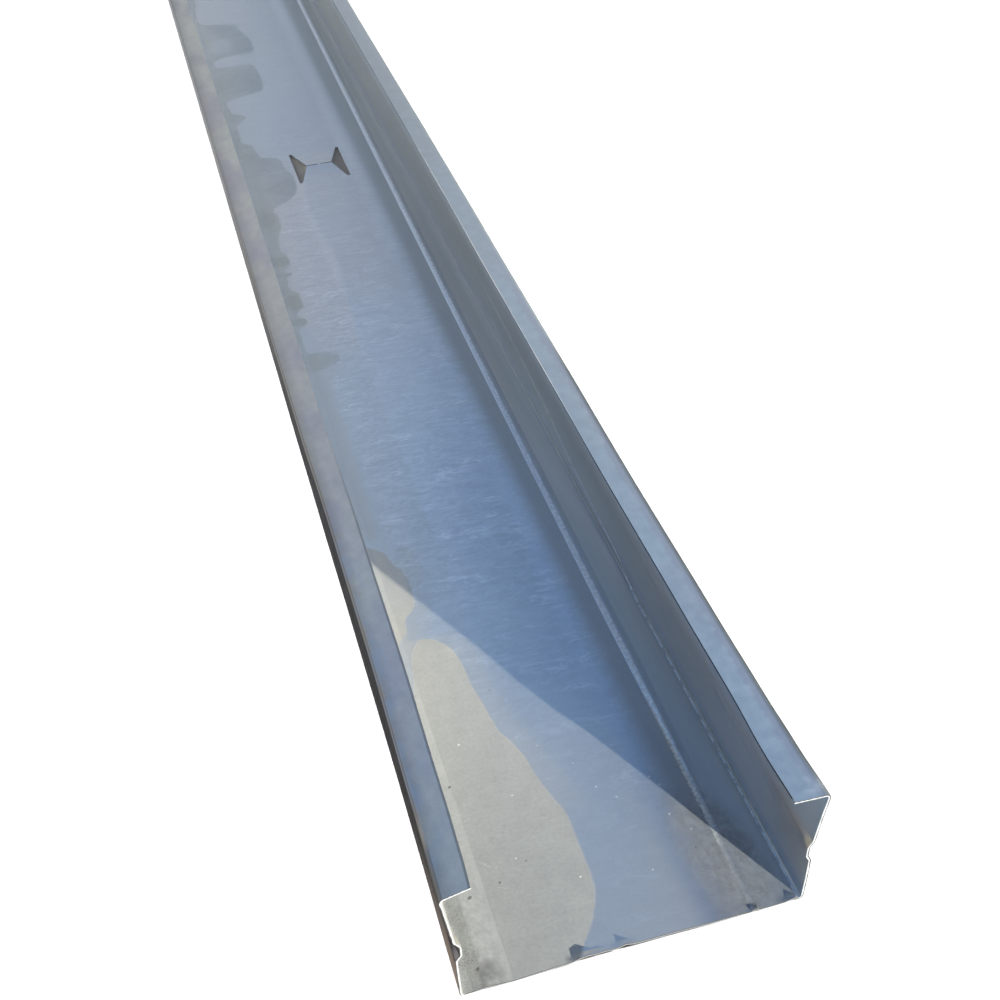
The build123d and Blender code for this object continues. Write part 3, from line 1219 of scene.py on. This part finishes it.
@dataclass
class StudSheet:
    """The stud itself: one bent sheet with its punches."""

    section: Section = field(default_factory=Section)
    punch: Punch = field(default_factory=Punch)
    handling: Handling = field(default_factory=Handling)
    node: str = "stud"
    near_rows: tuple[float, ...] = (0, 0.3, 0.6, 1, 1.5, 2.1, 2.8, 3.6, 4.6, 6, 8, 10.5, 13.5, 17)
    near_steps: tuple[Triple, ...] = ((20, 62, 3.5), (62, 200, 5.5), (200, 620, 8))
    far_rows: tuple[float, ...] = (0, 1, 2.5, 5, 9, 14)
    far_steps: tuple[Triple, ...] = ((20, 80, 8),)
    plain_step: float = 24
    row_gap: float = 1.2
    column_gap: float = 0.8
    punch_columns: int = 6
    web_height: float = 2
    web_reach: float = 33.4
    cut_reach: float = 5
    sharp: float = 45

    def __post_init__(self) -> None:
        """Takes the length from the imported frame."""
        low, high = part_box(self.node)
        self.near, self.length = low.y / MM, (high.y - low.y) / MM

    def rows(self) -> np.ndarray:
        """Chooses places along the stud, close together at the ends and the punches.

        Returns:
            Distances from the near end.
        """
        near, far = (np.concatenate([first, *(np.arange(*step) for step in steps),
                                     np.arange(steps[-1][1], self.length / 2, self.plain_step)])
                     for first, steps in ((self.near_rows, self.near_steps), (self.far_rows, self.far_steps)))
        plain = np.concatenate([near, self.length - far])
        special = (self.punch.centres(self.length)[:, None] + self.punch.offsets()).ravel()
        clear = np.abs(plain[:, None] - special).min(1) > self.row_gap
        return np.unique(np.concatenate([plain[clear], special]))

    def columns(self, centre: float, run: np.ndarray) -> tuple[np.ndarray, np.ndarray]:
        """Chooses places round the section, with the punch's own columns laid over the web's.

        Args:
            centre: Where round the skin the punches' centre line is.
            run: Distance along the section's path at each of its points.

        Returns:
            Distances round the skin, and for each the share of the way from a triangle's slanted side to
            the tab, or -1 where the column isn't between them.
        """
        punch = self.punch
        slanted = -punch.half_width + punch.tip
        shares = np.linspace(0, 1, self.punch_columns)
        inner = slanted + shares * (-punch.half_tab - slanted)
        own = centre + np.concatenate([[-punch.half_width], inner, -inner[::-1], [punch.half_width]])
        marks = np.concatenate([[-1], shares, shares[::-1], [-1]])
        plain = self.section.stations(run)
        plain = plain[(plain < own[0] - self.column_gap) | (plain > own[-1] + self.column_gap)]
        places = np.concatenate([plain, own])
        order = np.argsort(places)
        return places[order], np.concatenate([np.full(len(plain), -1), marks])[order]

    def surface(self) -> tuple[np.ndarray, np.ndarray, np.ndarray]:
        """Works out both skins and which of their faces are there.

        Every point is skin(s) + d n(s), with s the distance round the section, n the normal into the
        channel and d the rise by waves, burrs and flaps, plus the sheet's thickness for the inner skin.

        Returns:
            Points by skin, column and row; the unrolled place of each column and row; and whether each
            face between four points is solid.
        """
        punch, handling, section = self.punch, self.handling, self.section
        points, run, normals = section.rounded()
        web = np.abs(points[:, 1]) < self.web_height
        centre = float(np.interp(punch.shift, points[web, 0], run[web]))
        columns, marks = self.columns(centre, run)
        rows, centres = self.rows(), punch.centres(self.length)
        gaps = rows[:, None] - centres
        away = gaps[np.arange(len(rows)), np.abs(gaps).argmin(1)]
        place = np.repeat(columns[:, None], len(rows), 1)
        between = marks >= 0
        side = np.sign(columns[between] - centre)[:, None]
        slanted = -punch.half_width + punch.inner_side(away)
        place[between] = centre - side * (slanted + marks[between][:, None] * (-punch.half_tab - slanted))
        across, up, level, upright = (np.interp(place, run, known) for known in (*points.T, *normals.T))
        along = np.broadcast_to(rows, place.shape)
        at = Spots(across, up, along, np.minimum(along, self.length - along))
        upright = upright * (1 - handling.flattened(at, section))
        steep = np.hypot(level, upright)
        on_web = (up < self.web_height) & (np.abs(across) < self.web_reach)
        rise = on_web * (handling.waves(at) + handling.turned_up(at) + punch.lifted(across, away[None, :]))
        shift = handling.settled(at, section) + on_web * handling.drifted(at)
        cut = along + handling.edge_line(place) * self.end_share(along)
        lifts = [(rise + skin.value * section.sheet) / steep for skin in Skin]
        shells = np.stack([
            np.stack([across + shift + lift * level, cut, up + lift * upright], -1) for lift in lifts])
        middle = np.abs(((rows[1:] + rows[:-1]) / 2)[:, None] - centres).min(1)
        halfway = np.abs((columns[1:] + columns[:-1]) / 2 - centre)
        paired = between[1:] & between[:-1]
        triangle, slit = (halfway < punch.half_width) & ~paired, paired & (halfway > punch.half_tab)
        opened = triangle[:, None] & (middle < punch.half_length) | slit[:, None] & (middle < punch.half_slit)
        return shells, np.stack([place, along], -1), ~opened

    def end_share(self, along: np.ndarray) -> np.ndarray:
        """How much of the cut's unevenness a place takes: 1 at the near end, -1 at the far one, 0 between."""
        reach = self.cut_reach
        return 1 - smooth_step(along, 0, reach) - smooth_step(along, self.length - reach, self.length)

    def build(self) -> bpy.types.Object:
        """Makes the stud's mesh: two skins, and a wall along each edge of the sheet and of its openings.

        Returns:
            The stud.
        """
        shells, unrolled, solid = self.surface()
        number = np.arange(shells[..., 0].size).reshape(shells.shape[:3])
        i, j = np.nonzero(solid)
        outer, inner = np.stack([
            number[:, i, j], number[:, i + 1, j], number[:, i + 1, j + 1], number[:, i, j + 1]], -1)
        parts = {Finish.OUTSIDE: outer, Finish.CHANNEL: inner[:, ::-1], Finish.CUT: self.walls(number, solid)}
        finish = np.concatenate([np.full(len(faces), key.value, np.int32) for key, faces in parts.items()])
        used, corners = np.unique(np.concatenate([*parts.values()]), return_inverse=True)
        corners = corners.reshape(-1, 4)
        spots = shells.reshape(-1, 3)[used] * MM + np.array([0, self.near * MM, 0])
        mesh = bpy.data.meshes.new("steel_stud")
        mesh.from_pydata(spots.tolist(), [], corners.tolist())
        places = np.concatenate([unrolled.reshape(-1, 2)] * 2)[used] * MM
        layer = mesh.uv_layers.new(name="unrolled")
        layer.data.foreach_set("uv", places[corners.ravel()].astype(np.float32).ravel())
        depth = mesh.attributes.new("depth", "FLOAT", "POINT")
        depth.data.foreach_set("value", (used >= number[0].size).astype(np.float32))
        mesh.polygons.foreach_set("material_index", finish)
        mesh.polygons.foreach_set("use_smooth", np.ones(len(corners), bool))
        mesh.update()
        mesh.set_sharp_from_angle(angle=radians(self.sharp))
        return add_object("steel_stud", mesh)

    @staticmethod
    def walls(number: np.ndarray, solid: np.ndarray) -> np.ndarray:
        """Makes the faces through the sheet's thickness, wherever a solid face meets an open one.

        Args:
            number: Point numbers by skin, column and row.
            solid: Whether each face between four points is there.

        Returns:
            Four points a face, facing out of the sheet.
        """
        padded = np.pad(solid, 1)
        beside = ((padded[1:, 1:-1], padded[:-1, 1:-1]), (padded[1:-1, 1:], padded[1:-1, :-1]))
        quads = []
        for axis, (here, before) in enumerate(beside):
            for edge, flip in ((here & ~before, axis == 0), (~here & before, axis == 1)):
                i, j = np.nonzero(edge)
                i2, j2 = i + axis, j + 1 - axis
                quad = np.stack([number[0, i, j], number[1, i, j], number[1, i2, j2], number[0, i2, j2]], 1)
                quads.append(quad[:, ::-1] if flip else quad)
        return np.concatenate(quads)

    def dress(self, stud: bpy.types.Object) -> None:
        """Gives the stud its finishes, in the order of Finish, and fixes it to the frame.

        Args:
            stud: The stud's object.
        """
        _, run, _ = self.section.rounded()
        for finish in (ChannelZinc(), OutsideZinc(float(run[-1]), self.section.right.lip[0]), CutMetal()):
            stud.data.materials.append(finish.material())
        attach(stud, "root")
        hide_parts(self.node)


@dataclass(frozen=True)
class Lamp:
    """A distant lamp. Its softness, its turn from the near side and its height are in degrees."""

    name: str
    strength: float
    colour: Colour
    softness: float
    turn: float
    height: float

    def shine(self, lit: bpy.types.Object) -> None:
        """Adds the lamp, which lights one object only.

        Args:
            lit: What it lights.
        """
        lamp = bpy.data.lights.new(self.name, "SUN")
        lamp.energy, lamp.color, lamp.angle = self.strength, self.colour, radians(self.softness)
        light = add_object(self.name, lamp)
        light.rotation_euler = Euler((radians(90 - self.height), 0, radians(self.turn)))
        lit_by = bpy.data.collections.new(self.name)
        lit_by.objects.link(lit)
        light.light_linking.receiver_collection = lit_by


@dataclass
class Studio:
    """Pale floor, soft dome, two soft lights for the floor, one low warm key for the stud, and the camera."""

    floor_reach: float = 60
    floor_tone: Colour = (0.46, 0.46, 0.47)
    floor_rough: float = 0.85
    soft_below: Colour = (0.12, 0.11, 0.10)
    soft_above: Colour = (0.29, 0.295, 0.31)
    sky: Stops = (
        (-1, (0.62, 0.49, 0.37)), (-0.86, (0.62, 0.49, 0.37)), (-0.83, (0.22, 0.19, 0.17)),
        (-0.80, (0.025, 0.025, 0.028)), (-0.53, (0.022, 0.023, 0.027)), (-0.45, (0.33, 0.34, 0.35)),
        (-0.38, (0.50, 0.52, 0.54)), (0.31, (0.61, 0.65, 0.72)), (0.50, (0.54, 0.62, 0.74)),
        (0.60, (0.36, 0.515, 0.75)), (0.70, (0.255, 0.43, 0.73)), (0.80, (0.25, 0.41, 0.67)),
        (1, (0.16, 0.30, 0.54)))
    key: Lamp = Lamp("key", 24, (1, 0.92, 0.72), 0.7, 26.3, 11)
    floor_lights: tuple[Lamp, ...] = (
        Lamp("floor_light_right", 14, (1, 1, 1), 6, 80, 31),
        Lamp("floor_light_left", 14, (1, 1, 1), 6, -100, 31))
    camera_place: Triple = (-0.05157, -0.11891, 0.21591)
    camera_turn: Triple = (46.2789, 2.5763, -16.2089)
    lens: float = 45.33
    lens_shift: float = 0.1
    sensor: float = 36
    nearest: float = 0.01
    horizon: Pair = (-0.05, 0.05)

    def floor(self) -> bpy.types.Object:
        """Lays the pale floor under the stud.

        Returns:
            The floor.
        """
        reach = self.floor_reach
        mesh = bpy.data.meshes.new("floor")
        corners = [(-reach, -reach, 0), (reach, -reach, 0), (reach, reach, 0), (-reach, reach, 0)]
        mesh.from_pydata(corners, [], [(0, 1, 2, 3)])
        floor = add_object("floor", mesh)
        material, sheet = new_material("pale_floor")
        sheet.surface(self.floor_tone, 0, self.floor_rough)
        mesh.materials.append(material)
        floor.visible_glossy = floor.visible_diffuse = False
        return floor

    def dome(self) -> None:
        """Lights everything softly: an even grey for matt surfaces, and a cool dome for what is mirrored."""
        world = bpy.data.worlds.new("dome")
        bpy.context.scene.world = world
        world.use_nodes = True
        sheet = NodeSheet(world.node_tree)
        way = sheet.read("TexCoord", "Object")
        height = sheet.read("SeparateXYZ", 2, {0: way})
        mirrored, seen = (sheet.read("LightPath", ray) for ray in ("Is Glossy Ray", "Is Camera Ray"))
        soft = sheet.blend(height.step(*self.horizon), self.soft_below, self.soft_above)
        colour = soft.veiled(mirrored, height.ramp(self.sky)).veiled(seen, (1, 1, 1))
        light = sheet.read("Background", 0, {"Color": colour, "Strength": 1})
        sheet.add("OutputWorld", {"Surface": light})

    def camera(self) -> None:
        """Sets the camera where the photograph's was."""
        lens = bpy.data.cameras.new("camera")
        lens.sensor_width, lens.lens = self.sensor, self.lens
        lens.shift_y, lens.clip_start = self.lens_shift, self.nearest
        camera = add_object("camera", lens)
        across, before, up = self.camera_place
        camera.location = (across, CAD_LOW.y + before, up)
        camera.rotation_euler = Euler([radians(angle) for angle in self.camera_turn])
        bpy.context.scene.camera = camera

    def light(self, stud: bpy.types.Object, floor: bpy.types.Object) -> None:
        """Sets the dome, the key that lights the stud, and the soft lights that brighten the floor.

        Args:
            stud: The stud.
            floor: The floor.
        """
        self.dome()
        self.key.shine(stud)
        for lamp in self.floor_lights:
            lamp.shine(floor)


def main() -> None:
    """Builds the stud and its studio in order, and notes the stud's points and faces."""
    logging.basicConfig(level=logging.INFO, format="%(name)s: %(message)s")
    studio = Studio()
    studio.camera()
    floor = studio.floor()
    sheet = StudSheet()
    stud = sheet.build()
    sheet.dress(stud)
    studio.light(stud, floor)
    bpy.context.scene.view_settings.view_transform = "Standard"
    LOG.info("%s: %d points, %d faces", stud.name, len(stud.data.vertices), len(stud.data.polygons))


if __name__ == "__main__":
    main()
